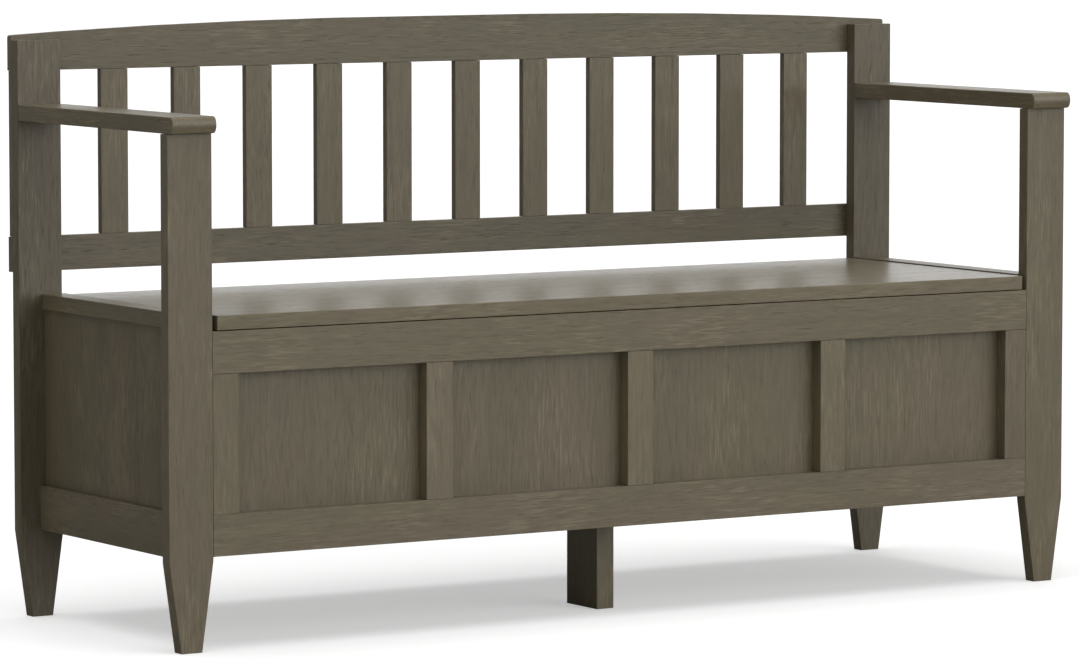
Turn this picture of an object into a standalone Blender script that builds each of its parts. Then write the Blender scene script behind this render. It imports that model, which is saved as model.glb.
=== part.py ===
"""Entryway storage bench with a slatted back, armrests and a lift-up lid.

Units are metres.  +X runs to the right seen from the front, +Y to the back and +Z up.
The origin is on the floor, at the middle of the bench's width and depth.
Each named object is one separate piece, placed where it sits with the lid closed.
"""
import math

import bmesh
import bpy

# Overall size
WIDTH = 1.270
DEPTH = 0.414
SEAT_HEIGHT = 0.3855
ARM_HEIGHT = 0.6135
CREST_TOP_MIDDLE = 0.710
CREST_TOP_END = 0.6952
CREST_FULLNESS = 2.5

# Stock thicknesses and the hairline left between pieces that touch
BOARD = 0.017
PANEL = 0.008
FIT = 0.0003

# Posts
POST_WIDTH = 0.057
REAR_POST_HEIGHT = 0.6895
FOOT_TAPER_HEIGHT = 0.1045
FOOT_TAPER = 0.015

# Armrests
ARM_THICKNESS = 0.0195
ARM_OVERHANG = 0.013
ARM_NOSE = 0.0065

# Box frame, from the floor
RAIL_BOTTOM = 0.109
RAIL_HEIGHT = 0.048
FRONT_TOP_RAIL_HEIGHT = 0.049
LEFT_STILE_WIDTH = 0.034
RIGHT_STILE_WIDTH = 0.032
MULLION_WIDTH = 0.036
MULLION_COUNT = 3
MULLION_PITCH = 0.280
MULLION_SHIFT = 0.004
PANEL_LAP = 0.018
SIDE_RAIL_BOTTOM = 0.1045
SIDE_RAIL_INSET = 0.026
SIDE_STRIP_INSET = 0.0305
SIDE_STRIP_WIDTH = 0.030
SIDE_STRIP_RISE = 0.0013
SIDE_PANEL_INSET = 0.0335
FLOOR_BOTTOM = 0.130
CLEAT = 0.018
CORNER_BLOCK = 0.020

# Centre leg, measured back from the front face
CENTRE_LEG_WIDTH = 0.024
CENTRE_LEG_DEPTH = 0.068
CENTRE_LEG_SETBACK = 0.072

# Backrest, a frame fixed behind the rear posts
BACK_FRAME = 0.010
BACK_STILE_INSET = 0.0015
BACK_STILE_WIDTH = 0.0485
LOWER_RAIL_BOTTOM = 0.413
LOWER_RAIL_TOP = 0.455
CREST_BOTTOM = 0.653
CREST_CORNER = 0.003
SLAT_COUNT = 11
SLAT_WIDTH = 0.0364
SLAT_THICKNESS = 0.0095

# Lid
LID_THICKNESS = BOARD
LID_END_GAP = 0.0065
LID_FRONT_GAP = 0.001
LID_REAR_DROP = 0.004
BATTEN_WIDTH = 0.045
BATTEN_LENGTH = 0.270
BATTEN_X = 0.250

# Hinges
HINGE_X = 0.420
HINGE_LENGTH = 0.060
HINGE_LEAF = 0.038
HINGE_PLATE = 0.0018
KNUCKLE_RADIUS = 0.003
KNUCKLE_COUNT = 5
KNUCKLE_CLEARANCE = 0.0004
PIN_RADIUS = 0.0013
PIN_CLEARANCE = 0.0003

# Segments on round shapes, and the angle above which an edge is shaded sharp
ROUND_SEGMENTS = 24
NOSE_SEGMENTS = 16
CREST_SEGMENTS = 40
CORNER_SEGMENTS = 3
SHARP_ANGLE = math.radians(40)

# Places worked out from the sizes above
SIDE = WIDTH / 2
POST_INNER = SIDE - POST_WIDTH
FRONT = -DEPTH / 2 + ARM_OVERHANG
FRONT_INSIDE = FRONT + BOARD
BACK_FRAME_REAR = DEPTH / 2
BACK_FRAME_FRONT = BACK_FRAME_REAR - BACK_FRAME
REAR_POST_BACK = BACK_FRAME_FRONT - FIT
REAR_POST_FRONT = REAR_POST_BACK - BOARD
LID_BOTTOM = SEAT_HEIGHT - LID_THICKNESS
FRONT_TOP_RAIL_TOP = LID_BOTTOM - LID_FRONT_GAP
TOP_RAIL_BOTTOM = FRONT_TOP_RAIL_TOP - FRONT_TOP_RAIL_HEIGHT
RAIL_TOP = RAIL_BOTTOM + RAIL_HEIGHT
BOX_FLOOR_TOP = FLOOR_BOTTOM + PANEL
LID_REAR = REAR_POST_FRONT - FIT
HINGE_Y = LID_REAR - KNUCKLE_RADIUS
HINGE_Z = LID_BOTTOM
SIDE_RAIL_INNER = SIDE - SIDE_RAIL_INSET - BOARD

# Finishes: linear colour, roughness, metallic
WOOD_FRONT = ((0.142, 0.124, 0.090), 0.45, 0.0)
WOOD_SIDE = ((0.128, 0.112, 0.082), 0.45, 0.0)
WOOD_TOP = ((0.160, 0.140, 0.103), 0.45, 0.0)
WOOD_INSIDE = ((0.170, 0.150, 0.115), 0.50, 0.0)
STEEL = ((0.420, 0.410, 0.390), 0.35, 1.0)


def clear_scene():
    """Empties the file that the script runs in."""
    for obj in list(bpy.data.objects):
        bpy.data.objects.remove(obj, do_unlink=True)


def make_material(name, finish):
    """One Principled material with a plain colour."""
    colour, roughness, metallic = finish
    material = bpy.data.materials.new(name)
    material.use_nodes = True
    shader = material.node_tree.nodes["Principled BSDF"]
    shader.inputs["Base Color"].default_value = (*colour, 1.0)
    shader.inputs["Roughness"].default_value = roughness
    shader.inputs["Metallic"].default_value = metallic
    return material


def finish_piece(name, mesh_data, origin, finish):
    """Turns a bmesh built around its own origin into a named object placed at origin."""
    bmesh.ops.recalc_face_normals(mesh_data, faces=mesh_data.faces)
    mesh = bpy.data.meshes.new(name)
    mesh_data.to_mesh(mesh)
    mesh_data.free()
    obj = bpy.data.objects.new(name, mesh)
    obj.location = origin
    obj.data.materials.append(make_material(name + "_finish", finish))
    bpy.context.collection.objects.link(obj)
    return obj


def shade_round(obj):
    """Smooth shading that keeps the real corners sharp."""
    obj.data.shade_smooth()
    obj.data.set_sharp_from_angle(angle=SHARP_ANGLE)


def extrude_outline(outline, plane, start, end):
    """Closed prism from an outline of 2-D points.

    plane "xz" extrudes along Y and plane "yz" along X, from start to end.
    """
    mesh_data = bmesh.new()
    if plane == "xz":
        points = [(u, start, v) for u, v in outline]
        step = (0.0, end - start, 0.0)
    else:
        points = [(start, u, v) for u, v in outline]
        step = (end - start, 0.0, 0.0)
    face = mesh_data.faces.new([mesh_data.verts.new(point) for point in points])
    result = bmesh.ops.extrude_face_region(mesh_data, geom=[face])
    moved = [item for item in result["geom"] if isinstance(item, bmesh.types.BMVert)]
    bmesh.ops.translate(mesh_data, verts=moved, vec=step)
    return mesh_data


def add_board(name, x_range, y_range, z_range, finish):
    """Rectangular board between the given limits, with its origin at its middle."""
    ranges = (x_range, y_range, z_range)
    centre = [(low + high) / 2 for low, high in ranges]
    size = [high - low for low, high in ranges]
    mesh_data = bmesh.new()
    bmesh.ops.create_cube(mesh_data, size=1.0)
    bmesh.ops.scale(mesh_data, verts=mesh_data.verts, vec=size)
    return finish_piece(name, mesh_data, centre, finish)


def mirrored(side, low, high):
    """The X range between two distances from the middle, on side -1 or +1."""
    return (low, high) if side > 0 else (-high, -low)


def arc_points(centre, radii, start, end, count):
    """Points on an ellipse arc, angles in degrees from the first axis."""
    points = []
    for step in range(count + 1):
        angle = math.radians(start + (end - start) * step / count)
        u = centre[0] + radii[0] * math.cos(angle)
        v = centre[1] + radii[1] * math.sin(angle)
        points.append((u, v))
    return points


def add_post(name, side, y_low, height):
    """Flat post whose foot narrows evenly towards the floor."""
    half = POST_WIDTH / 2
    foot = half - FOOT_TAPER
    outline = [(-foot, 0.0), (foot, 0.0), (half, FOOT_TAPER_HEIGHT), (half, height),
               (-half, height), (-half, FOOT_TAPER_HEIGHT)]
    mesh_data = extrude_outline(outline, "xz", 0.0, BOARD)
    finish_piece(name, mesh_data, (side * (SIDE - half), y_low, 0.0), WOOD_FRONT)


def add_armrest(name, side):
    """Flat armrest with a rounded nose in front of the post."""
    length = REAR_POST_FRONT - FIT + DEPTH / 2
    half = ARM_THICKNESS / 2
    nose = arc_points((ARM_NOSE, 0.0), (ARM_NOSE, half), 90, 270, NOSE_SEGMENTS)
    outline = [(length, half)] + nose + [(length, -half)]
    mesh_data = extrude_outline(outline, "yz", -POST_WIDTH / 2, POST_WIDTH / 2)
    place = (side * (SIDE - POST_WIDTH / 2), -DEPTH / 2, ARM_HEIGHT - half)
    shade_round(finish_piece(name, mesh_data, place, WOOD_TOP))


def add_crest_rail():
    """Top rail of the backrest: straight below, one long full curve above, round corners."""
    fall = CREST_TOP_MIDDLE - CREST_TOP_END
    reach = SIDE - CREST_CORNER
    top = []
    for step in range(CREST_SEGMENTS + 1):
        x = reach - 2 * reach * step / CREST_SEGMENTS
        top.append((x, CREST_TOP_MIDDLE - fall * (abs(x) / SIDE) ** CREST_FULLNESS))
    corner_height = top[0][1] - CREST_CORNER
    radii = (CREST_CORNER, CREST_CORNER)
    right = arc_points((reach, corner_height), radii, 0, 90, CORNER_SEGMENTS)[:-1]
    left = arc_points((-reach, corner_height), radii, 90, 180, CORNER_SEGMENTS)[1:]
    outline = [(-SIDE, CREST_BOTTOM), (SIDE, CREST_BOTTOM)] + right + top + left
    outline = [(x, z - CREST_BOTTOM) for x, z in outline]
    mesh_data = extrude_outline(outline, "xz", 0.0, BACK_FRAME)
    place = (0.0, BACK_FRAME_FRONT, CREST_BOTTOM)
    shade_round(finish_piece("crest_rail", mesh_data, place, WOOD_FRONT))


def add_backrest():
    """Crest rail, lower rail, two end stiles and evenly spaced slats."""
    add_crest_rail()
    rail_depth = (BACK_FRAME_FRONT, BACK_FRAME_REAR)
    add_board("lower_back_rail", (-SIDE, SIDE), rail_depth,
              (LOWER_RAIL_BOTTOM, LOWER_RAIL_TOP), WOOD_FRONT)
    between = (LOWER_RAIL_TOP + FIT, CREST_BOTTOM - FIT)
    outer = SIDE - BACK_STILE_INSET
    for side, word in ((-1, "left"), (1, "right")):
        add_board("back_stile_" + word, mirrored(side, outer - BACK_STILE_WIDTH, outer),
                  rail_depth, between, WOOD_SIDE)
    gap = (2 * POST_INNER - SLAT_COUNT * SLAT_WIDTH) / (SLAT_COUNT + 1)
    for index in range(SLAT_COUNT):
        left = -POST_INNER + gap + index * (SLAT_WIDTH + gap)
        add_board(f"back_slat_{index + 1:02d}", (left, left + SLAT_WIDTH),
                  (BACK_FRAME_FRONT, BACK_FRAME_FRONT + SLAT_THICKNESS), between, WOOD_FRONT)


def add_posts_and_arms():
    """Four posts and the two armrests between them."""
    for side, word in ((-1, "left"), (1, "right")):
        add_post("front_post_" + word, side, FRONT, ARM_HEIGHT - ARM_THICKNESS - FIT)
        add_post("rear_post_" + word, side, REAR_POST_FRONT, REAR_POST_HEIGHT)
        add_armrest("armrest_" + word, side)


def add_front_frame():
    """Two rails, two stiles and the mullions, with a panel behind each opening."""
    reach = POST_INNER - FIT
    depth = (FRONT, FRONT_INSIDE)
    add_board("front_top_rail", (-reach, reach), depth,
              (TOP_RAIL_BOTTOM, FRONT_TOP_RAIL_TOP), WOOD_FRONT)
    add_board("front_bottom_rail", (-reach, reach), depth, (RAIL_BOTTOM, RAIL_TOP), WOOD_FRONT)
    upright = (RAIL_TOP + FIT, TOP_RAIL_BOTTOM - FIT)
    add_board("front_stile_left", (-reach, LEFT_STILE_WIDTH - POST_INNER), depth, upright,
              WOOD_FRONT)
    add_board("front_stile_right", (POST_INNER - RIGHT_STILE_WIDTH, reach), depth, upright,
              WOOD_FRONT)
    first = MULLION_SHIFT - (MULLION_COUNT - 1) / 2 * MULLION_PITCH
    middles = [first + index * MULLION_PITCH for index in range(MULLION_COUNT)]
    for index, middle in enumerate(middles):
        add_board(f"front_mullion_{index + 1}",
                  (middle - MULLION_WIDTH / 2, middle + MULLION_WIDTH / 2), depth,
                  upright, WOOD_FRONT)
    outer = SIDE_RAIL_INNER - CORNER_BLOCK - 2 * FIT
    edges = [-outer] + middles + [outer]
    panel_depth = (FRONT_INSIDE + FIT, FRONT_INSIDE + FIT + PANEL)
    panel_height = (RAIL_TOP - PANEL_LAP, TOP_RAIL_BOTTOM + PANEL_LAP)
    for index in range(MULLION_COUNT + 1):
        add_board(f"front_panel_{index + 1}", (edges[index] + FIT / 2, edges[index + 1] - FIT / 2),
                  panel_depth, panel_height, WOOD_FRONT)


def add_side_frames():
    """Top strip, panel and bottom rail between the posts on each side."""
    depth = (FRONT_INSIDE + FIT, REAR_POST_FRONT - FIT)
    for side, word in ((-1, "left"), (1, "right")):
        strip_outer = SIDE - SIDE_STRIP_INSET
        add_board("side_top_strip_" + word,
                  mirrored(side, strip_outer - SIDE_STRIP_WIDTH, strip_outer), depth,
                  (LID_BOTTOM, SEAT_HEIGHT + SIDE_STRIP_RISE), WOOD_TOP)
        panel_outer = SIDE - SIDE_PANEL_INSET
        add_board("side_panel_" + word, mirrored(side, panel_outer - PANEL, panel_outer), depth,
                  (RAIL_TOP + FIT, LID_BOTTOM - FIT), WOOD_SIDE)
        add_board("side_bottom_rail_" + word,
                  mirrored(side, SIDE_RAIL_INNER, SIDE - SIDE_RAIL_INSET), depth,
                  (SIDE_RAIL_BOTTOM, RAIL_TOP), WOOD_SIDE)


def add_rear_frame():
    """Two rails and a panel between the rear posts; the top rail carries the hinges."""
    reach = POST_INNER - FIT
    depth = (REAR_POST_FRONT, REAR_POST_BACK)
    rail_top = LID_BOTTOM - LID_REAR_DROP
    add_board("rear_top_rail", (-reach, reach), depth, (rail_top - RAIL_HEIGHT, rail_top),
              WOOD_SIDE)
    add_board("rear_bottom_rail", (-reach, reach), depth, (RAIL_BOTTOM, RAIL_TOP), WOOD_SIDE)
    middle = (REAR_POST_FRONT + REAR_POST_BACK) / 2
    add_board("rear_panel", (-reach, reach), (middle - PANEL / 2, middle + PANEL / 2),
              (RAIL_TOP + FIT, rail_top - RAIL_HEIGHT - FIT), WOOD_SIDE)


def add_box_inside():
    """Storage floor, the cleats under it, a block in each corner and the centre leg."""
    reach = SIDE_RAIL_INNER - FIT
    front = FRONT_INSIDE + FIT
    rear = REAR_POST_FRONT - FIT
    add_board("box_floor", (-reach, reach), (front, rear), (FLOOR_BOTTOM, BOX_FLOOR_TOP),
              WOOD_INSIDE)
    cleat_height = (FLOOR_BOTTOM - FIT - CLEAT, FLOOR_BOTTOM - FIT)
    add_board("floor_cleat_front", (-reach, reach), (front, front + CLEAT), cleat_height,
              WOOD_INSIDE)
    add_board("floor_cleat_rear", (-reach, reach), (rear - CLEAT, rear), cleat_height,
              WOOD_INSIDE)
    block_bottom = BOX_FLOOR_TOP + FIT
    front_height = (block_bottom, LID_BOTTOM - LID_FRONT_GAP)
    rear_height = (block_bottom, LID_BOTTOM - LID_REAR_DROP)
    for side, word in ((-1, "left"), (1, "right")):
        x_range = mirrored(side, reach - CORNER_BLOCK, reach)
        add_board("corner_block_front_" + word, x_range, (front, front + CORNER_BLOCK),
                  front_height, WOOD_INSIDE)
        add_board("corner_block_rear_" + word, x_range, (rear - CORNER_BLOCK, rear),
                  rear_height, WOOD_INSIDE)
    leg_front = FRONT + CENTRE_LEG_SETBACK
    add_board("centre_leg", (-CENTRE_LEG_WIDTH / 2, CENTRE_LEG_WIDTH / 2),
              (leg_front, leg_front + CENTRE_LEG_DEPTH), (0.0, FLOOR_BOTTOM - FIT), WOOD_SIDE)


def add_cutter(name, x_range, y_range, z_range):
    """Hidden block that a Boolean takes out of another piece."""
    cutter = add_board(name, x_range, y_range, z_range, WOOD_INSIDE)
    cutter.hide_render = True
    cutter.display_type = "WIRE"
    return cutter


def cut_away(obj, cutter):
    """Adds the Boolean that takes a cutter out of a piece."""
    modifier = obj.modifiers.new("cut_" + cutter.name, "BOOLEAN")
    modifier.operation = "DIFFERENCE"
    modifier.solver = "EXACT"
    modifier.object = cutter


def hang_on(pivot, piece):
    """Parents a piece to the pivot and keeps it where it is."""
    piece.parent = pivot
    piece.location = piece.location - pivot.location


def add_lid():
    """Seat board that lifts on its rear edge, notched for the hinge knuckles, and its battens."""
    pivot = bpy.data.objects.new("lid_pivot", None)
    pivot.location = (0.0, HINGE_Y, HINGE_Z)
    bpy.context.collection.objects.link(pivot)
    half = POST_INNER - LID_END_GAP
    lid = add_board("lid", (-half, half), (FRONT, LID_REAR), (LID_BOTTOM, SEAT_HEIGHT), WOOD_TOP)
    notch = KNUCKLE_RADIUS + 2 * FIT
    reach = HINGE_LENGTH / 2 + 2 * FIT
    for side, word in ((-1, "left"), (1, "right")):
        middle = side * HINGE_X
        cutter = add_cutter("notch_cutter_" + word, (middle - reach, middle + reach),
                            (HINGE_Y - notch, LID_REAR + notch),
                            (LID_BOTTOM - notch, LID_BOTTOM + notch))
        cut_away(lid, cutter)
    seat_front = FRONT_INSIDE + FIT + PANEL
    middle_y = (seat_front + HINGE_Y - HINGE_LEAF) / 2
    pieces = [lid]
    for side, word in ((-1, "left"), (1, "right")):
        middle = side * BATTEN_X
        batten = add_board("lid_batten_" + word,
                           (middle - BATTEN_WIDTH / 2, middle + BATTEN_WIDTH / 2),
                           (middle_y - BATTEN_LENGTH / 2, middle_y + BATTEN_LENGTH / 2),
                           (LID_BOTTOM - FIT - BOARD, LID_BOTTOM - FIT), WOOD_INSIDE)
        pieces.append(batten)
    for piece in pieces:
        hang_on(pivot, piece)
    return pivot


def ring(outer, inner, x_low, x_high):
    """Tube along X around the pin's axis, as a closed mesh."""
    mesh_data = bmesh.new()
    profile = [(x_low, inner), (x_high, inner), (x_high, outer), (x_low, outer)]
    verts = [mesh_data.verts.new((x, radius, 0.0)) for x, radius in profile]
    edges = [mesh_data.edges.new((verts[i], verts[(i + 1) % 4])) for i in range(4)]
    bmesh.ops.spin(mesh_data, geom=verts + edges, axis=(1.0, 0.0, 0.0), cent=(0.0, 0.0, 0.0),
                   steps=ROUND_SEGMENTS, angle=2 * math.pi, use_merge=True)
    bmesh.ops.remove_doubles(mesh_data, verts=mesh_data.verts, dist=1e-6)
    return mesh_data


def knuckle_spans():
    """X limits of the knuckles, from the hinge's middle, with running gaps between them."""
    pitch = HINGE_LENGTH / KNUCKLE_COUNT
    spans = []
    for index in range(KNUCKLE_COUNT):
        low = -HINGE_LENGTH / 2 + index * pitch
        spans.append((low + KNUCKLE_CLEARANCE / 2, low + pitch - KNUCKLE_CLEARANCE / 2))
    return spans


def comb_outline(own_spans):
    """Leaf outline with a tab for each of its own knuckles.

    The first coordinate runs along the pin and the second away from it.
    """
    half = HINGE_LENGTH / 2 - KNUCKLE_CLEARANCE / 2
    shoulder = KNUCKLE_RADIUS + KNUCKLE_CLEARANCE
    tab_tip = PIN_RADIUS + PIN_CLEARANCE + FIT
    outline = [(-half, HINGE_LEAF)]
    if own_spans[0][0] > -half:
        outline.append((-half, shoulder))
    for low, high in own_spans:
        if low > -half:
            outline.append((low, shoulder))
        outline.append((low, tab_tip))
        outline.append((high, tab_tip))
        if high < half:
            outline.append((high, shoulder))
    if own_spans[-1][1] < half:
        outline.append((half, shoulder))
    outline.append((half, HINGE_LEAF))
    return outline


def add_leaf(name, middle, own_spans, fixed):
    """Hinge leaf: a comb plate with its knuckles joined to it.

    The fixed leaf hangs down on the rear rail's inner face.  The lid's leaf lies forward
    under the lid.
    """
    outline = comb_outline(own_spans)
    mesh_data = bmesh.new()
    if fixed:
        far = KNUCKLE_RADIUS
        points = [(along, far - HINGE_PLATE, -away) for along, away in outline]
        step = (0.0, HINGE_PLATE, 0.0)
    else:
        points = [(along, -away, -FIT - HINGE_PLATE) for along, away in outline]
        step = (0.0, 0.0, HINGE_PLATE)
    face = mesh_data.faces.new([mesh_data.verts.new(point) for point in points])
    result = bmesh.ops.extrude_face_region(mesh_data, geom=[face])
    moved = [item for item in result["geom"] if isinstance(item, bmesh.types.BMVert)]
    bmesh.ops.translate(mesh_data, verts=moved, vec=step)
    place = (middle, HINGE_Y, HINGE_Z)
    leaf = finish_piece(name, mesh_data, place, STEEL)
    for index, (low, high) in enumerate(own_spans):
        bore = PIN_RADIUS + PIN_CLEARANCE
        knuckle_mesh = ring(KNUCKLE_RADIUS, bore, low, high)
        knuckle = finish_piece(f"{name}_knuckle_{index + 1}", knuckle_mesh, place, STEEL)
        shade_round(knuckle)
        knuckle.hide_render = True
        knuckle.display_type = "WIRE"
        modifier = leaf.modifiers.new(f"knuckle_{index + 1}", "BOOLEAN")
        modifier.operation = "UNION"
        modifier.solver = "EXACT"
        modifier.object = knuckle
    return leaf


def add_hinges(pivot):
    """Two butt hinges: a leaf on the rear rail, a leaf under the lid and a pin in each."""
    spans = knuckle_spans()
    for side, word in ((-1, "left"), (1, "right")):
        middle = side * HINGE_X
        add_leaf(f"hinge_{word}_rail_leaf", middle, spans[0::2], fixed=True)
        lid_leaf = add_leaf(f"hinge_{word}_lid_leaf", middle, spans[1::2], fixed=False)
        hang_on(pivot, lid_leaf)
        pin_mesh = bmesh.new()
        bmesh.ops.create_cone(pin_mesh, cap_ends=True, segments=ROUND_SEGMENTS,
                              radius1=PIN_RADIUS, radius2=PIN_RADIUS, depth=HINGE_LENGTH)
        pin = finish_piece(f"hinge_{word}_pin", pin_mesh, (middle, HINGE_Y, HINGE_Z), STEEL)
        pin.rotation_euler = (0.0, math.pi / 2, 0.0)
        shade_round(pin)


def main():
    """Builds every piece."""
    clear_scene()
    add_posts_and_arms()
    add_backrest()
    add_front_frame()
    add_side_frames()
    add_rear_frame()
    add_box_inside()
    pivot = add_lid()
    add_hinges(pivot)
    bpy.context.view_layer.update()


main()
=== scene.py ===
"""Looks for the storage bench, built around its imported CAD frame.

Every CAD board keeps its shape.  This script eases its edges, gives it a stained, brushed
wood with the grain along its length, and adds the screws and bolts that hold it together.
Units are metres in the frame's own axes: X to the right, Y to the back and Z up.
"""

import math
import random

import bmesh
import bpy
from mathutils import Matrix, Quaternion, Vector


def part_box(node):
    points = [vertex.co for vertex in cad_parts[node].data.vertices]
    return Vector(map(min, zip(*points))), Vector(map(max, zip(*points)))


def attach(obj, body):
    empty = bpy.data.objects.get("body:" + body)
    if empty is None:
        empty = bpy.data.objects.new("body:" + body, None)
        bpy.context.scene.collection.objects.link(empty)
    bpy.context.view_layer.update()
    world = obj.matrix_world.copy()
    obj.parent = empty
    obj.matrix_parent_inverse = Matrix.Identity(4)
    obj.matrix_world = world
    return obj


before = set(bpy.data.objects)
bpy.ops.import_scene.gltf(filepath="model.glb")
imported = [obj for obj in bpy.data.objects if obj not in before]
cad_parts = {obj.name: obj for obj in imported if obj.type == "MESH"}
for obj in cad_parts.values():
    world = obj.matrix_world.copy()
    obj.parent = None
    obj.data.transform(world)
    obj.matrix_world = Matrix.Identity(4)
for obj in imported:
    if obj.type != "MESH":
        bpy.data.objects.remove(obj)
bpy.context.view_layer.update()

# Camera: place, turn to the right of straight ahead, tilt, lens and sensor in millimetres
CAMERA_PLACE = (-3.6224, -5.7655, 0.9065)
CAMERA_YAW = 0.55887
CAMERA_PITCH = -0.08471
CAMERA_LENS = 186.2
SENSOR_WIDTH = 36.0
VIEW_LIMIT = 200.0

# Floor, just under the feet: its shade to the camera, to its bounced light and to reflections
FLOOR_REACH = 60.0
FLOOR_LEVEL = -0.0003
FLOOR_SEEN = (0.68, 0.68, 0.68, 1.0)
FLOOR_BOUNCE = (0.55, 0.55, 0.55, 1.0)
FLOOR_MIRRORED = (0.13, 0.13, 0.13, 1.0)
FLOOR_GLOW = 0.42
FLOOR_ROUGHNESS = 0.9
WHITE = (1.0, 1.0, 1.0, 1.0)

# Lights: strength, the direction they come from and how wide they look
KEY_STRENGTH = 1.95
KEY_FROM = (-0.12, -0.04, 1.0)
KEY_ANGLE = math.radians(60)
FILL_STRENGTH = 2.0
FILL_FROM = (0.45, -0.85, 0.05)
FILL_ANGLE = math.radians(70)
SIDE_STRENGTH = 0.42
SIDE_FROM = (-1.0, -0.5, 0.4)
SIDE_ANGLE = math.radians(60)

# Surroundings, as (from, to, value at from, value at to) of one part of the direction
SKY_SIDEWAYS = (-0.80, 0.30, 0.02, 0.75)
SKY_OVERHEAD = (0.25, 0.85, 1.0, 0.40)
SKY_PATCH = (0.80, 1.0, 0.0, 0.55)
SKY_PATCH_TOWARDS = (0.50, 0.87, 0.05)

# Eased edges: radius on outside boards, lid and armrests, and the share left on board ends
EASE = 0.0005
EASE_LID = 0.0008
EASE_ARM = 0.0014
EASE_SEGMENTS = 3
EASED_FROM = math.radians(20)
JOINED_END = 0.4
LONG_EDGE_COSINE = 0.7

# Cleaning of the CAD meshes: corners this close are one, faces this close to level are one
MERGE_DISTANCE = 0.00001
FLAT_ANGLE = math.radians(0.5)
SHARP_FROM = math.radians(35)

# Wood colours, linear
STAIN_BROWN = (0.128, 0.103, 0.065)
STAIN_OLIVE = (0.117, 0.099, 0.056)
INSIDE_BROWN = (0.180, 0.146, 0.104)
INSIDE_OLIVE = (0.155, 0.138, 0.094)

# Looks by slot: brown, olive, roughness and how much lighter the eased edges are painted, a
# painted highlight
LOOKS = {"stained_wood": (STAIN_BROWN, STAIN_OLIVE, 0.36, 0.22),
         "inside_wood": (INSIDE_BROWN, INSIDE_OLIVE, 0.55, 0.10)}
SEAT_LOOK = (STAIN_BROWN, STAIN_OLIVE, 0.30, 0.22)

# Boards drawn darker or lighter than the rest: some by their stain, the crest, lower back rail and
# rear posts darker as painted shade, and the centre leg lighter as painted light
BOARD_TONES_AND_SHADE = {"crest": 0.92, "lower_back": 0.80, "rear_post_left": 0.78, "rear_post_right": 0.86,
               "mullion": 1.09, "lid": 1.10, "side": 0.97, "back_slat": 0.97,
               "centre_leg": 1.05}

# Figure of the wood as noise: (cells per metre along and twice across the grain), detail and
# roughness.  Drift bends the grain, by up to its reach in metres.
DRIFT = ((1.4, 9.0, 9.0), 1.0, 0.5)
DRIFT_REACH = (0.0, 0.012, 0.012)
STREAK = ((26.0, 240.0, 240.0), 3.0, 0.6)
FIBRE = ((45.0, 950.0, 950.0), 2.0, 0.6)
BAND = ((1.3, 34.0, 34.0), 2.0, 0.5)
PATCH = ((3.0, 11.0, 11.0), 2.0, 0.5)
CLOUD = ((7.0, 14.0, 14.0), 2.0, 0.5)
PORE = ((60.0, 1500.0, 1500.0), 1.0, 0.5)
FLECK = ((34.0, 560.0, 560.0), 1.0, 0.5)
FLECK_SHIFT = (3.1, 0.7, 0.3)
RINGS_PER_METRE = 210.0
RING_DETAIL = 3.0
NOISE_MIDDLE = (0.5, 0.5, 0.5)

# Noise values between which pores and flecks appear, and between which rings and clouds
# let them through
PORE_APPEARS = (0.56, 0.68)
PORE_RINGS = (0.40, 0.60)
FLECK_APPEARS = (0.52, 0.66)
FLECK_CLOUDS = (0.45, 0.60)

# How far each of them moves the wood's brightness, its hue and its roughness
RING_SWING = 0.25
STREAK_SWING = 0.56
FIBRE_SWING = 0.30
BAND_SWING = 0.22
FLECK_LIGHTENS = 0.36
PORE_DARKENS = -0.32
PATCH_HUE_SWING = 1.9
STREAK_ROUGH_SWING = 0.16
PORE_ROUGHENS = 0.2

# Relief of the wood: share of each part, and the bump's strength and height in metres
STREAK_HEIGHT = 0.5
FIBRE_HEIGHT = 0.4
PORE_HEIGHT = -0.8
WOOD_BUMP = (0.5, 0.0004)

# Spread between boards: shift along and across the grain, tilt, tone and hue
SHIFT_ALONG = 6
SHIFT_ACROSS = (0.10, 0.30)
TILT = 0.02
TONE_SPREAD = (0.95, 1.05)
HUE_SPREAD = (0.3, 0.7)

# An eased edge is where the largest part of the normal falls from the first value to the second
EDGE_NORMAL = (0.97, 0.80)

# Metal: colour, roughness, and brushing and scuffs as noise (cells per metre, detail, roughness)
STEEL_COLOUR = (0.60, 0.58, 0.54)
STEEL_ROUGHNESS = 0.34
STEEL_BRUSHING = ((30.0, 700.0, 700.0), 3.0, 0.6)
BOLT_COLOUR = (0.11, 0.105, 0.10)
BOLT_ROUGHNESS = 0.42
BOLT_BRUSHING = ((500.0, 500.0, 500.0), 3.0, 0.6)
SCUFF = ((90.0, 90.0, 90.0), 3.0, 0.5)
SCUFF_APPEARS = (0.40, 0.62)
SCUFF_SHADE = 0.72
BRUSH_ROUGH_SWING = 0.22
SCUFF_ROUGH_SWING = 0.20
METAL_BUMP = (0.25, 0.0001)

# Screw and bolt heads: (head radius, head height, recess radius, recess depth)
SCREW = (0.0034, 0.0010, 0.0019, 0.0009)
BOLT = (0.0055, 0.0018, 0.0022, 0.0014)
RECESS_ARM = 0.24
RECESS_NARROWS = 0.8
RECESS_LIP = 1.08
RIM_HEIGHT = 0.35
HEAD_POINTS = 48
HEAD_SUNK = 0.0004
CROWN_STEPS = 4
OUTLINE_LIMIT = 0.001

# Hinge screws: plate thickness, gap over the plate, and (along the leaf, away from the pin)
LEAF_PLATE = 0.0018
LEAF_GAP = 0.0003
LEAF_SCREWS = ((-0.35, 0.40), (0.0, 0.75), (0.35, 0.40))

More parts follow.
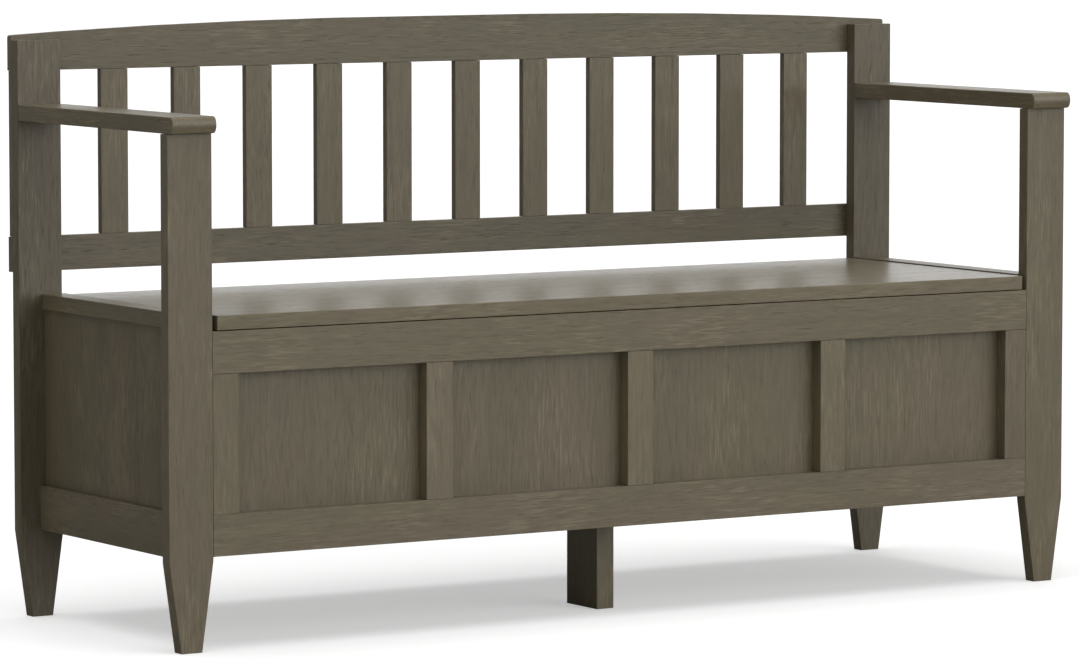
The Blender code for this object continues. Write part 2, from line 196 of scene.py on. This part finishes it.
# Other fasteners: shares of a piece's length, and distances from its edges
BATTEN_SCREWS = (0.10, 0.50, 0.90)
BLOCK_SCREWS = (0.20, 0.80)
BLOCK_STAGGER = 0.05
CLEAT_SCREWS = 5
CLEAT_FRONT_INSET = 0.0135
CLEAT_REAR_INSET = 0.009
BOLT_INSET = 0.0285
CREST_BOLT = 0.4
FRAME_BOLT = 0.5

AXES = ((1.0, 0.0, 0.0), (0.0, 1.0, 0.0), (0.0, 0.0, 1.0))
UPRIGHT = 2

# Places of the colour sockets on a Mix node: two inputs and the result
MIX_FIRST = 6
MIX_SECOND = 7
MIX_RESULT = 2


class Graph:
    """Short calls for building one node tree.  The functions below call theirs g."""

    def __init__(self, tree):
        self.tree = tree

    def add(self, kind, **settings):
        """New node with some of its properties set."""
        node = self.tree.nodes.new(kind)
        for name, value in settings.items():
            setattr(node, name, value)
        return node

    def put(self, socket, value):
        """Links an output to a socket, or sets the socket to a plain value."""
        if isinstance(value, bpy.types.NodeSocket):
            self.tree.links.new(value, socket)
        elif value is not None:
            socket.default_value = value

    def math(self, operation, first, second=None, third=None, clamp=False):
        """One sum on numbers."""
        node = self.add("ShaderNodeMath", operation=operation, use_clamp=clamp)
        for socket, value in zip(node.inputs, (first, second, third)):
            self.put(socket, value)
        return node.outputs[0]

    def vector(self, operation, first, second=None):
        """One sum on vectors; a length or a dot product is a number."""
        node = self.add("ShaderNodeVectorMath", operation=operation)
        for socket, value in zip(node.inputs, (first, second)):
            self.put(socket, value)
        return node.outputs["Value" if operation in ("LENGTH", "DOT_PRODUCT") else "Vector"]

    def noise(self, place, cells, detail, roughness, output="Fac"):
        """3-D noise with a number of cells per metre on each axis."""
        node = self.add("ShaderNodeTexNoise")
        self.put(node.inputs["Vector"], self.vector("MULTIPLY", place, cells))
        node.inputs["Scale"].default_value = 1.0
        node.inputs["Detail"].default_value = detail
        node.inputs["Roughness"].default_value = roughness
        return node.outputs[output]

    def span(self, value, low, high, to_low=0.0, to_high=1.0):
        """Smooth step of a value from one range to another."""
        node = self.add("ShaderNodeMapRange", interpolation_type="SMOOTHSTEP")
        for socket, number in zip(node.inputs, (value, low, high, to_low, to_high)):
            self.put(socket, number)
        return node.outputs["Result"]

    def swing(self, value, amount):
        """A noise value turned into a swing of plus or minus half the amount."""
        return self.math("MULTIPLY_ADD", value, amount, -amount / 2)

    def times(self, value, amount):
        return self.math("MULTIPLY", value, amount)

    def bump(self, shader, height, sizes):
        """Relief on a shader: sizes are the bump's strength and its height in metres."""
        node = self.add("ShaderNodeBump")
        for name, size in zip(("Strength", "Distance"), sizes):
            node.inputs[name].default_value = size
        self.put(node.inputs["Height"], height)
        self.put(shader.inputs["Normal"], node.outputs[0])

    def mix(self, factor, first, second):
        """Colour between two colours."""
        node = self.add("ShaderNodeMix", data_type="RGBA")
        self.put(node.inputs["Factor"], factor)
        self.put(node.inputs[MIX_FIRST], first)
        self.put(node.inputs[MIX_SECOND], second)
        return node.outputs[MIX_RESULT]

    def total(self, *values):
        """Sum of all the values."""
        result = values[0]
        for value in values[1:]:
            result = self.math("ADD", result, value)
        return result


def new_group(name, kind, inputs, outputs):
    """Empty node group with the given sockets; returns its graph, input node and output node."""
    tree = bpy.data.node_groups.new(name, kind)
    for socket, socket_type in inputs:
        tree.interface.new_socket(socket, in_out="INPUT", socket_type=socket_type)
    for socket, socket_type in outputs:
        tree.interface.new_socket(socket, in_out="OUTPUT", socket_type=socket_type)
    graph = Graph(tree)
    return graph, graph.add("NodeGroupInput"), graph.add("NodeGroupOutput")


# ---------------------------------------------------------------- wood

def make_wood_group():
    """Stained, brushed wood from coordinates in metres whose X runs along the grain."""
    g, given, result = new_group(
        "brushed_wood", "ShaderNodeTree",
        [("Grain", "NodeSocketVector"), ("Brown", "NodeSocketColor"),
         ("Olive", "NodeSocketColor"), ("Tone", "NodeSocketFloat"),
         ("Hue", "NodeSocketFloat"), ("Polish", "NodeSocketFloat")],
        [("Color", "NodeSocketColor"), ("Roughness", "NodeSocketFloat"),
         ("Height", "NodeSocketFloat")])
    grain = given.outputs["Grain"]
    drift = g.noise(grain, *DRIFT, output="Color")
    drift = g.vector("SUBTRACT", drift, NOISE_MIDDLE)
    place = g.vector("ADD", grain, g.vector("MULTIPLY", drift, DRIFT_REACH))

    rings = g.add("ShaderNodeTexNoise", noise_dimensions="1D")
    radius = g.vector("LENGTH", g.vector("MULTIPLY", place, (0.0, 1.0, 1.0)))
    g.put(rings.inputs["W"], g.times(radius, RINGS_PER_METRE))
    rings.inputs["Scale"].default_value = 1.0
    rings.inputs["Detail"].default_value = RING_DETAIL
    ring = rings.outputs["Fac"]

    streak = g.noise(place, *STREAK)
    fibre = g.noise(place, *FIBRE)
    band = g.noise(place, *BAND)
    patch = g.noise(place, *PATCH)
    cloud = g.noise(grain, *CLOUD)
    pore_noise = g.noise(place, *PORE)
    pore = g.times(g.span(pore_noise, *PORE_APPEARS), g.span(ring, *PORE_RINGS))
    fleck_noise = g.noise(g.vector("ADD", place, FLECK_SHIFT), *FLECK)
    fleck = g.times(g.span(fleck_noise, *FLECK_APPEARS), g.span(cloud, *FLECK_CLOUDS))

    value = g.total(given.outputs["Tone"], g.swing(ring, RING_SWING),
                    g.swing(streak, STREAK_SWING), g.swing(fibre, FIBRE_SWING),
                    g.swing(band, BAND_SWING), g.times(fleck, FLECK_LIGHTENS),
                    g.times(pore, PORE_DARKENS))
    hue = g.math("ADD", given.outputs["Hue"], g.swing(patch, PATCH_HUE_SWING), clamp=True)
    colour = g.mix(hue, given.outputs["Brown"], given.outputs["Olive"])
    scale = g.add("ShaderNodeVectorMath", operation="SCALE")
    g.put(scale.inputs[0], colour)
    g.put(scale.inputs["Scale"], value)
    g.put(result.inputs["Color"], scale.outputs[0])

    rough = g.total(given.outputs["Polish"], g.swing(streak, STREAK_ROUGH_SWING),
                    g.times(pore, PORE_ROUGHENS))
    g.put(result.inputs["Roughness"], rough)
    height = g.total(g.times(streak, STREAK_HEIGHT), g.times(fibre, FIBRE_HEIGHT),
                     g.times(pore, PORE_HEIGHT))
    g.put(result.inputs["Height"], height)
    return g.tree


def edge_mask(g):
    """1 where the surface turns away from all three axes, which is on an eased edge."""
    normal = g.add("ShaderNodeVectorTransform", vector_type="NORMAL", convert_from="WORLD",
                   convert_to="OBJECT")
    g.put(normal.inputs[0], g.add("ShaderNodeNewGeometry").outputs["Normal"])
    parts = g.add("ShaderNodeSeparateXYZ")
    g.put(parts.inputs[0], g.vector("ABSOLUTE", normal.outputs[0]))
    largest = g.math("MAXIMUM", parts.outputs[0],
                     g.math("MAXIMUM", parts.outputs[1], parts.outputs[2]))
    return g.span(largest, *EDGE_NORMAL)


def wood_material(name, group, axis, look, rng):
    """One board's wood: its own stretch of grain, tone and hue."""
    brown, olive, polish, edge_highlight = look
    material = bpy.data.materials.new("wood_" + name)
    material.use_nodes = True
    g = Graph(material.node_tree)
    shader = g.tree.nodes["Principled BSDF"]
    parts = g.add("ShaderNodeSeparateXYZ")
    g.put(parts.inputs[0], g.add("ShaderNodeTexCoord").outputs["Object"])
    turned = g.add("ShaderNodeCombineXYZ")
    others = [other for other in range(3) if other != axis]
    for socket, index in zip(turned.inputs, [axis] + others):
        g.put(socket, parts.outputs[index])
    shift = g.add("ShaderNodeMapping")
    g.put(shift.inputs["Vector"], turned.outputs[0])
    shift.inputs["Location"].default_value = (rng.uniform(-SHIFT_ALONG, SHIFT_ALONG),
                                              rng.uniform(*SHIFT_ACROSS),
                                              rng.uniform(*SHIFT_ACROSS))
    shift.inputs["Rotation"].default_value = (0.0, rng.uniform(-TILT, TILT),
                                              rng.uniform(-TILT, TILT))
    wood = g.add("ShaderNodeGroup", node_tree=group)
    g.put(wood.inputs["Grain"], shift.outputs[0])
    wood.inputs["Brown"].default_value = (*brown, 1.0)
    wood.inputs["Olive"].default_value = (*olive, 1.0)
    # Board tone: a random spread, times the board's own tone, which holds painted shade on the
    # rear boards and painted light on the centre leg
    wood.inputs["Tone"].default_value = board_tone_and_shade(name) * rng.uniform(*TONE_SPREAD)
    wood.inputs["Hue"].default_value = rng.uniform(*HUE_SPREAD)
    wood.inputs["Polish"].default_value = polish
    # Base colour lightened on the eased edges: a painted highlight where the rounded edges catch
    # light
    edge_lit_colour = g.add("ShaderNodeVectorMath", operation="SCALE")
    g.put(edge_lit_colour.inputs[0], wood.outputs["Color"])
    g.put(edge_lit_colour.inputs["Scale"], g.math("MULTIPLY_ADD", edge_mask(g), edge_highlight, 1.0))
    g.put(shader.inputs["Base Color"], edge_lit_colour.outputs[0])
    g.put(shader.inputs["Roughness"], wood.outputs["Roughness"])
    g.bump(shader, wood.outputs["Height"], WOOD_BUMP)
    return material


# ---------------------------------------------------------------- metal

def metal_material(name, colour, roughness, brushing):
    """Brushed and lightly scuffed metal."""
    material = bpy.data.materials.new(name)
    material.use_nodes = True
    g = Graph(material.node_tree)
    shader = g.tree.nodes["Principled BSDF"]
    place = g.add("ShaderNodeTexCoord").outputs["Object"]
    brushed = g.noise(place, *brushing)
    scuff = g.noise(place, *SCUFF)
    dull = tuple(part * SCUFF_SHADE for part in colour)
    tint = g.mix(g.span(scuff, *SCUFF_APPEARS), (*colour, 1.0), (*dull, 1.0))
    g.put(shader.inputs["Base Color"], tint)
    shader.inputs["Metallic"].default_value = 1.0
    rough = g.total(g.swing(brushed, BRUSH_ROUGH_SWING), g.swing(scuff, SCUFF_ROUGH_SWING),
                    roughness)
    g.put(shader.inputs["Roughness"], rough)
    g.bump(shader, brushed, METAL_BUMP)
    return material


# ---------------------------------------------------------------- shaping the CAD boards

def make_edge_group():
    """Smooth shading, and a bevel weight for each sharp edge: less on edges across the grain."""
    g, given, result = new_group(
        "edge_weights", "GeometryNodeTree",
        [("Geometry", "NodeSocketGeometry"), ("Along", "NodeSocketVector"),
         ("End", "NodeSocketFloat")],
        [("Geometry", "NodeSocketGeometry")])
    geometry = smooth_all(g, given.outputs["Geometry"])
    angle = g.add("GeometryNodeInputMeshEdgeAngle").outputs["Unsigned Angle"]
    ends = g.add("GeometryNodeInputMeshEdgeVertices")
    run = g.vector("NORMALIZE", g.vector("SUBTRACT", ends.outputs["Position 1"],
                                         ends.outputs["Position 2"]))
    along = g.math("ABSOLUTE", g.vector("DOT_PRODUCT", run, given.outputs["Along"]))
    is_long = g.math("GREATER_THAN", along, LONG_EDGE_COSINE)
    weight = g.math("MAXIMUM", is_long, given.outputs["End"])
    weight = g.times(weight, g.math("GREATER_THAN", angle, EASED_FROM))
    store = g.add("GeometryNodeStoreNamedAttribute", data_type="FLOAT", domain="EDGE")
    g.put(store.inputs["Geometry"], geometry)
    store.inputs["Name"].default_value = "bevel_weight_edge"
    g.put(store.inputs["Value"], weight)
    g.put(result.inputs["Geometry"], store.outputs["Geometry"])
    return g.tree


def smooth_all(g, geometry):
    """Drops the imported normals and shades every face and edge smooth."""
    drop = g.add("GeometryNodeRemoveAttribute")
    g.put(drop.inputs["Geometry"], geometry)
    drop.inputs["Name"].default_value = "custom_normal"
    geometry = drop.outputs["Geometry"]
    for domain in ("FACE", "EDGE"):
        smooth = g.add("GeometryNodeSetShadeSmooth", domain=domain)
        g.put(smooth.inputs["Geometry"], geometry)
        geometry = smooth.outputs["Geometry"]
    return geometry


def make_round_group():
    """Smooth shading that keeps corners sharp, for metal parts."""
    g, given, result = new_group("round_metal", "GeometryNodeTree",
                                 [("Geometry", "NodeSocketGeometry")],
                                 [("Geometry", "NodeSocketGeometry")])
    geometry = smooth_all(g, given.outputs["Geometry"])
    angle = g.add("GeometryNodeInputMeshEdgeAngle").outputs["Unsigned Angle"]
    corner = g.add("FunctionNodeCompare", operation="GREATER_THAN")
    g.put(corner.inputs[0], angle)
    corner.inputs[1].default_value = SHARP_FROM
    sharp = g.add("GeometryNodeSetShadeSmooth", domain="EDGE")
    g.put(sharp.inputs["Geometry"], geometry)
    g.put(sharp.inputs["Selection"], corner.outputs[0])
    sharp.inputs["Shade Smooth"].default_value = False
    g.put(result.inputs["Geometry"], sharp.outputs["Geometry"])
    return g.tree


def join_faces(node):
    """Modifiers that merge a CAD node's split corners and drop its flat triangle edges."""
    merge = node.modifiers.new("merge", "WELD")
    merge.merge_threshold = MERGE_DISTANCE
    flat = node.modifiers.new("flat", "DECIMATE")
    flat.decimate_type = "DISSOLVE"
    flat.angle_limit = FLAT_ANGLE


def ease_edges(node, group, axis, radius, end_share):
    """Modifiers that round a board's corners by a small radius."""
    join_faces(node)
    weights = node.modifiers.new("weights", "NODES")
    weights.node_group = group
    inputs = {item.name: item.identifier for item in group.interface.items_tree
              if item.in_out == "INPUT"}
    weights[inputs["Along"]] = AXES[axis]
    weights[inputs["End"]] = end_share
    ease = node.modifiers.new("ease", "BEVEL")
    ease.width = radius
    ease.segments = EASE_SEGMENTS
    ease.limit_method = "WEIGHT"
    ease.use_clamp_overlap = True
    normals = node.modifiers.new("normals", "WEIGHTED_NORMAL")
    normals.keep_sharp = True


def grain_axis(name):
    """Panels stand with their grain upright; every other board runs along its longest side."""
    if "panel" in name:
        return UPRIGHT
    low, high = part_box(name)
    size = high - low
    return max(range(3), key=lambda axis: size[axis])


def edge_rounding(name):
    """Edge radius of a board, and the share of it on the board's ends."""
    if name.startswith("armrest"):
        return EASE_ARM, 1.0
    if name == "lid":
        return EASE_LID, 1.0
    if name == "crest_rail" or "post" in name or name == "centre_leg":
        return EASE, 1.0
    return EASE, JOINED_END


def board_tone_and_shade(name):
    """How light a board is drawn, by a word that its name starts with or holds: partly its stain,
    partly painted shade on the crest, lower back rail and rear posts and painted light on the
    centre leg.
    """
    for start, tone in BOARD_TONES_AND_SHADE.items():
        if name.startswith(start) or "_" + start in name:
            return tone
    return 1.0


def dress_boards(wood_group, edge_group):
    """Gives every wooden CAD node its grain, tone and eased edges."""
    for name, node in sorted(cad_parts.items()):
        slot = node.data.materials[0].name
        if slot not in LOOKS:
            continue
        axis = grain_axis(name)
        look = SEAT_LOOK if name == "lid" else LOOKS[slot]
        material = wood_material(name, wood_group, axis, look, random.Random(name))
        node.material_slots[0].material = material
        radius, end_share = edge_rounding(name)
        ease_edges(node, edge_group, axis, radius, end_share)


def dress_hinges(round_group):
    """Gives the hinge leaves and pins a zinc-plated look and round knuckles; returns the steel."""
    steel = metal_material("zinc_plate", STEEL_COLOUR, STEEL_ROUGHNESS, STEEL_BRUSHING)
    for name, node in sorted(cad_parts.items()):
        if name.startswith("hinge_"):
            node.material_slots[0].material = steel
            join_faces(node)
            node.modifiers.new("round", "NODES").node_group = round_group
            node.modifiers.new("normals", "WEIGHTED_NORMAL").keep_sharp = True
    return steel


# ---------------------------------------------------------------- screws and bolts

def between(low, high, share):
    """Value at a share of the way from low to high."""
    return low + (high - low) * share


def cross_reach(angle):
    """Distance from the middle to the edge of a cross-shaped recess, for a reach of 1."""
    across, along = sorted((abs(math.cos(angle)), abs(math.sin(angle))))
    return min(1.0 / along, RECESS_ARM / max(across, OUTLINE_LIMIT))


def hex_reach(angle):
    """Distance from the middle to the edge of a hexagon, for a corner distance of 1."""
    sixth = math.pi / 3
    return math.cos(sixth / 2) / math.cos(angle % sixth - sixth / 2)


def head_mesh(name, sizes, reach, material):
    """Domed head standing on z = 0, with a recess whose outline is given by reach(angle)."""
    radius, height, recess, depth = sizes
    angles = [2 * math.pi * step / HEAD_POINTS for step in range(HEAD_POINTS)]
    rings = [[(radius, -HEAD_SUNK) for _ in angles]]
    for step in range(CROWN_STEPS + 1):
        share = step / CROWN_STEPS
        out = between(radius, recess * RECESS_LIP, share)
        level = height * between(RIM_HEIGHT, 1.0, math.sin(share * math.pi / 2))
        rings.append([(out, level) for _ in angles])
    rings.append([(recess * reach(angle), height) for angle in angles])
    rings.append([(recess * reach(angle) * RECESS_NARROWS, height - depth) for angle in angles])
    data = bmesh.new()
    loops = [[data.verts.new((out * math.cos(angle), out * math.sin(angle), z))
              for angle, (out, z) in zip(angles, ring)] for ring in rings]
    for lower, upper in zip(loops, loops[1:]):
        for index in range(HEAD_POINTS):
            after = (index + 1) % HEAD_POINTS
            data.faces.new((lower[index], lower[after], upper[after], upper[index]))
    data.faces.new(list(reversed(loops[0])))
    data.faces.new(loops[-1])
    mesh = bpy.data.meshes.new(name)
    data.to_mesh(mesh)
    data.free()
    mesh.shade_smooth()
    mesh.set_sharp_from_angle(angle=SHARP_FROM)
    mesh.materials.append(material)
    return mesh


def fasten(name, mesh, spot, outward, body):
    """One screw or bolt standing on a surface, turned at random about its own axis."""
    piece = bpy.data.objects.new(name, mesh)
    piece.location = spot
    spin = Quaternion((0.0, 0.0, 1.0), random.Random(name).uniform(0, math.pi / 2))
    turn = Vector(outward).to_track_quat("Z", "Y") @ spin
    piece.rotation_mode = "QUATERNION"
    piece.rotation_quaternion = turn
    bpy.context.scene.collection.objects.link(piece)
    bpy.context.view_layer.update()
    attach(piece, body)


def add_hinge_screws(screw, word):
    """Three screws in each leaf: the rail's leaf faces forward and the lid's leaf down."""
    low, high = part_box(f"hinge_{word}_rail_leaf")
    middle = (low.x + high.x) / 2
    face = high.y - LEAF_PLATE
    for index, (along, away) in enumerate(LEAF_SCREWS):
        spot = (middle + along * (high.x - low.x), face, between(high.z, low.z, away))
        fasten(f"screw_{word}_rail_leaf_{index + 1}", screw, spot, (0, -1, 0), "bench")
    low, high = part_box(f"hinge_{word}_lid_leaf")
    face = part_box("lid")[0].z - LEAF_GAP - LEAF_PLATE
    for index, (along, away) in enumerate(LEAF_SCREWS):
        spot = (middle + along * (high.x - low.x), between(high.y, low.y, away), face)
        fasten(f"screw_{word}_lid_leaf_{index + 1}", screw, spot, (0, 0, -1), "seat_lid")


def add_batten_screws(screw, word):
    """Screws along the underside of a lid batten."""
    low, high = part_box("lid_batten_" + word)
    for index, share in enumerate(BATTEN_SCREWS):
        spot = ((low.x + high.x) / 2, between(low.y, high.y, share), low.z)
        fasten(f"screw_{word}_batten_{index + 1}", screw, spot, (0, 0, -1), "seat_lid")


def add_block_screws(screw, end, word):
    """Screws through a corner block: two into the box's end, two into its front or back."""
    low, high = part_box(f"corner_block_{end}_{word}")
    inward_x = 1 if word == "left" else -1
    inward_y = 1 if end == "front" else -1
    middle = (low + high) / 2
    face_x = high.x if word == "left" else low.x
    face_y = high.y if end == "front" else low.y
    for index, share in enumerate(BLOCK_SCREWS):
        level = between(low.z, high.z, share)
        name = f"screw_{end}_{word}_block_{index + 1}"
        fasten(name + "_end", screw, (face_x, middle.y, level), (inward_x, 0, 0), "bench")
        level += BLOCK_STAGGER * (high.z - low.z)
        fasten(name + "_face", screw, (middle.x, face_y, level), (0, inward_y, 0), "bench")


def add_floor_screws(screw):
    """Screws through the box floor into the cleats under it."""
    low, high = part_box("box_floor")
    rows = {"front": low.y + CLEAT_FRONT_INSET, "rear": high.y - CLEAT_REAR_INSET}
    for end, y in rows.items():
        for index in range(CLEAT_SCREWS):
            x = between(low.x, high.x, (index + 0.5) / CLEAT_SCREWS)
            fasten(f"screw_{end}_floor_{index + 1}", screw, (x, y, high.z), (0, 0, 1), "bench")


def add_back_bolts(bolt, word):
    """Bolts through the backrest's frame into a rear post."""
    inward = 1 if word == "left" else -1
    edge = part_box("rear_post_" + word)[0 if word == "left" else 1].x
    x = edge + inward * BOLT_INSET
    for piece, share in (("crest_rail", CREST_BOLT), ("back_stile_" + word, FRAME_BOLT),
                         ("lower_back_rail", FRAME_BOLT)):
        low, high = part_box(piece)
        spot = (x, high.y, between(low.z, high.z, share))
        fasten(f"bolt_{word}_{piece}", bolt, spot, (0, 1, 0), "bench")


def add_fasteners(steel):
    """Every screw and bolt of the bench."""
    screw = head_mesh("cross_screw", SCREW, cross_reach, steel)
    dark = metal_material("dark_steel", BOLT_COLOUR, BOLT_ROUGHNESS, BOLT_BRUSHING)
    bolt = head_mesh("socket_bolt", BOLT, hex_reach, dark)
    for word in ("left", "right"):
        add_hinge_screws(screw, word)
        add_batten_screws(screw, word)
        add_back_bolts(bolt, word)
        for end in ("front", "rear"):
            add_block_screws(screw, end, word)
    add_floor_screws(screw)


# ---------------------------------------------------------------- floor, light, camera

def floor_material():
    """Pale surface that looks brighter than the light it bounces, as on a lit sweep.

    It is seen from above only, so the underside can be looked at from below.
    """
    material = bpy.data.materials.new("pale_floor")
    material.use_nodes = True
    g = Graph(material.node_tree)
    shader = g.tree.nodes["Principled BSDF"]
    ray = g.add("ShaderNodeLightPath")
    seen = ray.outputs["Is Camera Ray"]
    bounced = g.mix(ray.outputs["Is Glossy Ray"], FLOOR_BOUNCE, FLOOR_MIRRORED)
    g.put(shader.inputs["Base Color"], g.mix(seen, bounced, FLOOR_SEEN))
    shader.inputs["Roughness"].default_value = FLOOR_ROUGHNESS
    shader.inputs["Specular IOR Level"].default_value = 0.0
    shader.inputs["Emission Color"].default_value = WHITE
    g.put(shader.inputs["Emission Strength"], g.times(seen, FLOOR_GLOW))
    one_sided = g.add("ShaderNodeMixShader")
    g.put(one_sided.inputs["Fac"], g.add("ShaderNodeNewGeometry").outputs["Backfacing"])
    g.put(one_sided.inputs[1], shader.outputs[0])
    g.put(one_sided.inputs[2], g.add("ShaderNodeBsdfTransparent").outputs[0])
    g.put(g.tree.nodes["Material Output"].inputs["Surface"], one_sided.outputs[0])
    return material


def add_floor():
    """Large floor just under the feet."""
    mesh = bpy.data.meshes.new("floor")
    corners = [(-1, -1), (1, -1), (1, 1), (-1, 1)]
    points = [(x * FLOOR_REACH, y * FLOOR_REACH, FLOOR_LEVEL) for x, y in corners]
    mesh.from_pydata(points, [], [(0, 1, 2, 3)])
    floor = bpy.data.objects.new("floor", mesh)
    bpy.context.scene.collection.objects.link(floor)
    mesh.materials.append(floor_material())


def add_world():
    """Bright surroundings, dim on the left, with a bright patch low behind on the right."""
    world = bpy.data.worlds.new("studio")
    world.use_nodes = True
    g = Graph(world.node_tree)
    parts = g.add("ShaderNodeSeparateXYZ")
    direction = g.add("ShaderNodeTexCoord").outputs["Generated"]
    g.put(parts.inputs[0], direction)
    sideways = g.span(parts.outputs[0], *SKY_SIDEWAYS)
    overhead = g.span(parts.outputs[2], *SKY_OVERHEAD)
    patch = g.span(g.vector("DOT_PRODUCT", direction, SKY_PATCH_TOWARDS), *SKY_PATCH)
    light = g.total(g.times(sideways, overhead), patch)
    background = world.node_tree.nodes["Background"]
    background.inputs["Color"].default_value = WHITE
    g.put(background.inputs["Strength"], light)
    bpy.context.scene.world = world


def add_sun(name, towards, strength, angle):
    """Soft far light from a direction."""
    data = bpy.data.lights.new(name, "SUN")
    data.energy = strength
    data.angle = angle
    sun = bpy.data.objects.new(name, data)
    sun.rotation_euler = Vector(towards).to_track_quat("Z", "Y").to_euler()
    bpy.context.scene.collection.objects.link(sun)


def add_camera():
    """Far camera with a long lens, in front of the bench on the left and just above its crest."""
    data = bpy.data.cameras.new("camera")
    data.sensor_width = SENSOR_WIDTH
    data.lens = CAMERA_LENS
    data.clip_end = VIEW_LIMIT
    camera = bpy.data.objects.new("camera", data)
    camera.location = CAMERA_PLACE
    camera.rotation_euler = (math.pi / 2 + CAMERA_PITCH, 0.0, -CAMERA_YAW)
    bpy.context.scene.collection.objects.link(camera)
    bpy.context.scene.camera = camera


bpy.context.scene.view_settings.view_transform = "Standard"
add_camera()
add_world()
add_sun("key", KEY_FROM, KEY_STRENGTH, KEY_ANGLE)
add_sun("fill", FILL_FROM, FILL_STRENGTH, FILL_ANGLE)
add_sun("side", SIDE_FROM, SIDE_STRENGTH, SIDE_ANGLE)
add_floor()
dress_boards(make_wood_group(), make_edge_group())
add_fasteners(dress_hinges(make_round_group()))
